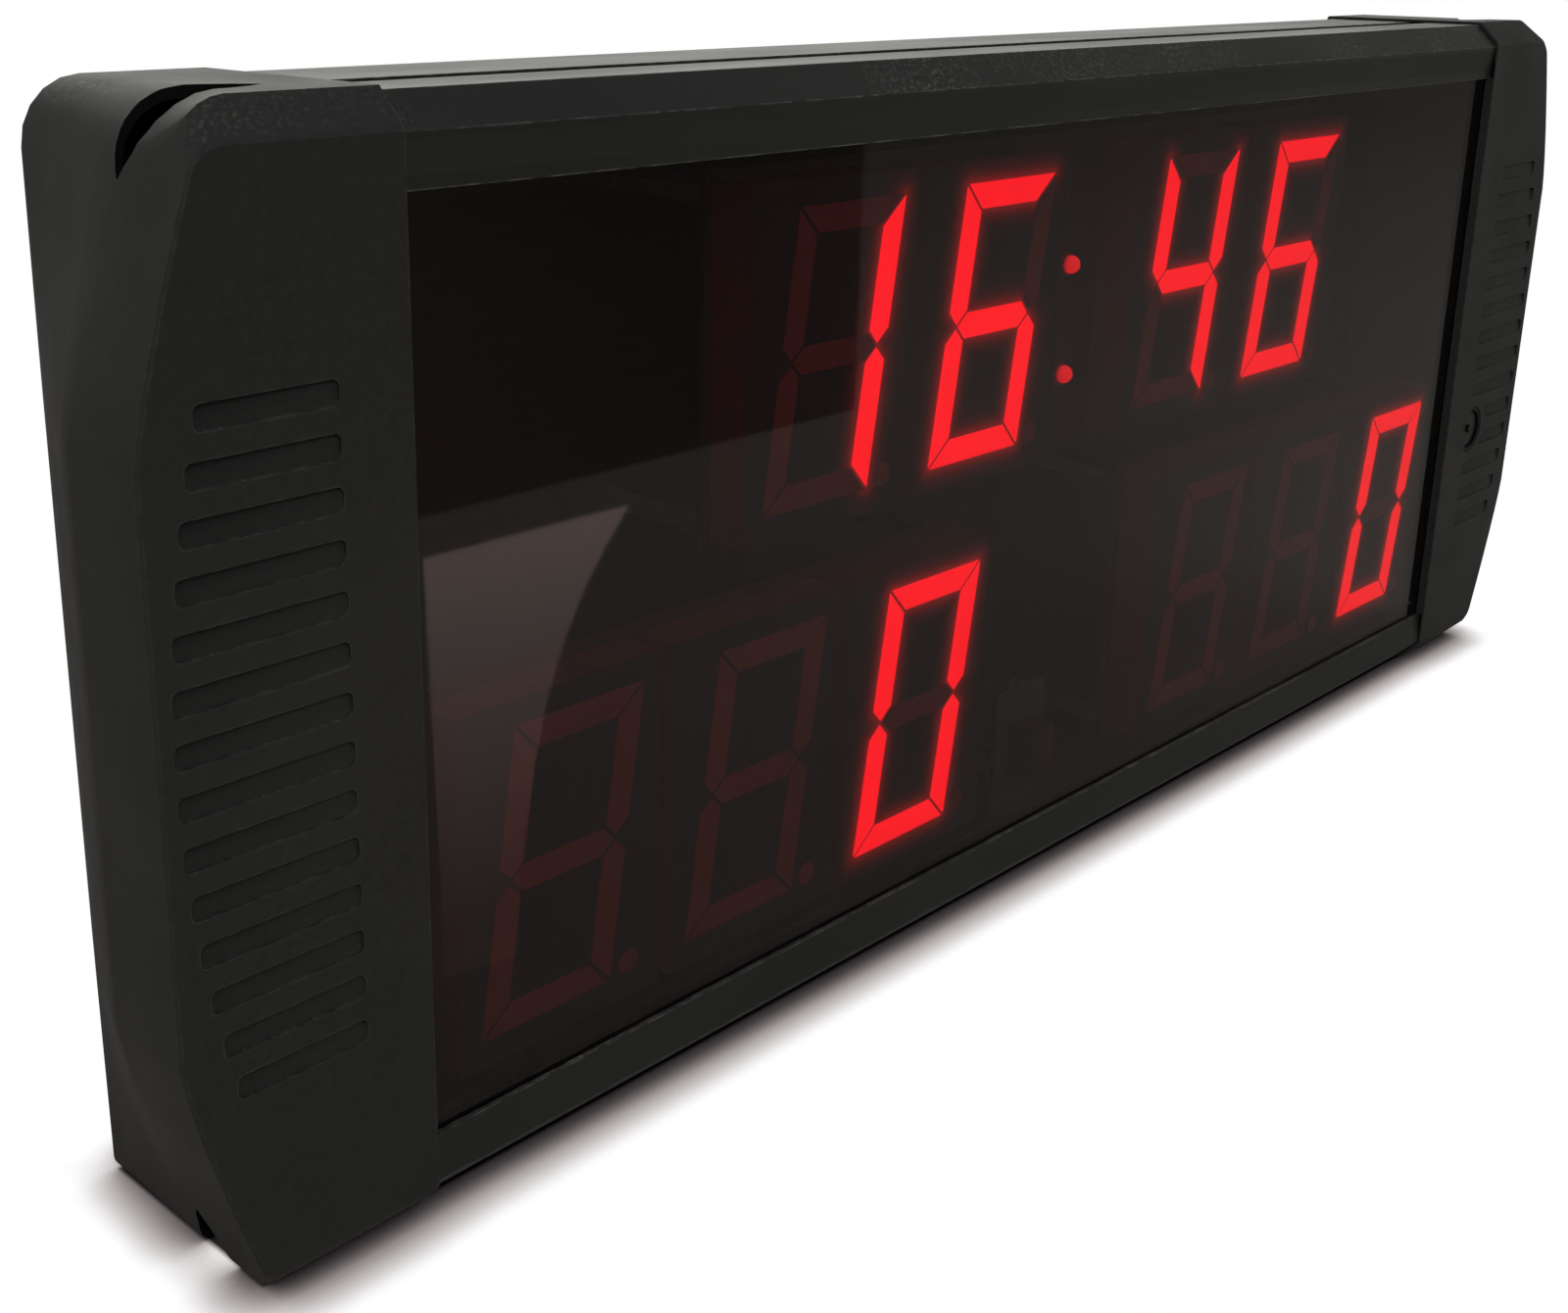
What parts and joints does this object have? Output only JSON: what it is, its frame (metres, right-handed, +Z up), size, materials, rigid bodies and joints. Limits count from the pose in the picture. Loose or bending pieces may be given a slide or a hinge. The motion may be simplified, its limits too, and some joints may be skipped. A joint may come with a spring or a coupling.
{
  "type": "electronic scoreboard",
  "caption": "Electronic scoreboard with a smoked window over slanted seven-segment clock and score digits, slotted aluminium rails and moulded end caps.",
  "frame": {"origin": "middle of the housing's base, at the height of the end caps' undersides", "axes": "+X along the board towards the guest side, -Y towards the reader, +Z up"},
  "size_m": [0.638, 0.0694, 0.254],
  "materials": {
    "extrusion": "black anodised, satin",
    "moulding": "fine spark-eroded texture",
    "smoked_window": "polished smoked acrylic",
    "display_module": "satin",
    "lamp": "clear red, gloss",
    "circuit_board": "solder-masked laminate",
    "black_plastic": "satin",
    "plated_steel": "zinc plated"
  },
  "bodies": {
    "housing": {"back_panel": "extrusion", "bottom_rail": "extrusion", "buzzer": "black_plastic", "cap_screw_left_lower": "plated_steel", "cap_screw_left_upper": "plated_steel", "cap_screw_right_lower": "plated_steel", "cap_screw_right_upper": "plated_steel", "colon_lamp_lower": "lamp", "colon_lamp_upper": "lamp", "control_board": "circuit_board", "control_standoff_1": "plated_steel", "control_standoff_2": "plated_steel", "control_standoff_3": "plated_steel", "control_standoff_4": "plated_steel", "dc_inlet": "black_plastic", "guest_board": "circuit_board", "guest_digit_1": "display_module", "guest_digit_2": "display_module", "guest_digit_3": "display_module", "guest_standoff_1": "plated_steel", "guest_standoff_2": "plated_steel", "guest_standoff_3": "plated_steel", "guest_standoff_4": "plated_steel", "hanger_left": "plated_steel", "hanger_right": "plated_steel", "home_board": "circuit_board", "home_digit_1": "display_module", "home_digit_2": "display_module", "home_digit_3": "display_module", "home_standoff_1": "plated_steel", "home_standoff_2": "plated_steel", "home_standoff_3": "plated_steel", "home_standoff_4": "plated_steel", "inlet_nut": "plated_steel", "ir_board": "circuit_board", "ir_receiver": "black_plastic", "ir_standoff_1": "plated_steel", "ir_standoff_2": "plated_steel", "key_board": "circuit_board", "left_end_cap": "moulding", "right_end_cap": "moulding", "switch_housing": "black_plastic", "time_board": "circuit_board", "time_digit_1": "display_module", "time_digit_2": "display_module", "time_digit_3": "display_module", "time_digit_4": "display_module", "time_standoff_1": "plated_steel", "time_standoff_2": "plated_steel", "time_standoff_3": "plated_steel", "time_standoff_4": "plated_steel", "top_rail": "extrusion", "window_panel": "smoked_window"},
    "rocker": {"switch_rocker": "black_plastic"},
    "button": {"side_button": "black_plastic"}
  },
  "joints": [
    {"name": "rocker_hinge", "type": "hinge", "parent": "housing", "child": "rocker", "pos_m": [0.168, 0.02475, 0.046], "axis": [1, 0, 0], "range_deg": [0, 20]},
    {"name": "button_slide", "type": "slide", "parent": "housing", "child": "button", "axis": [0, 1, 0], "range_m": [0, 0.0015], "stiffness_N_per_m": 800, "springref_m": -0.001}
  ]
}
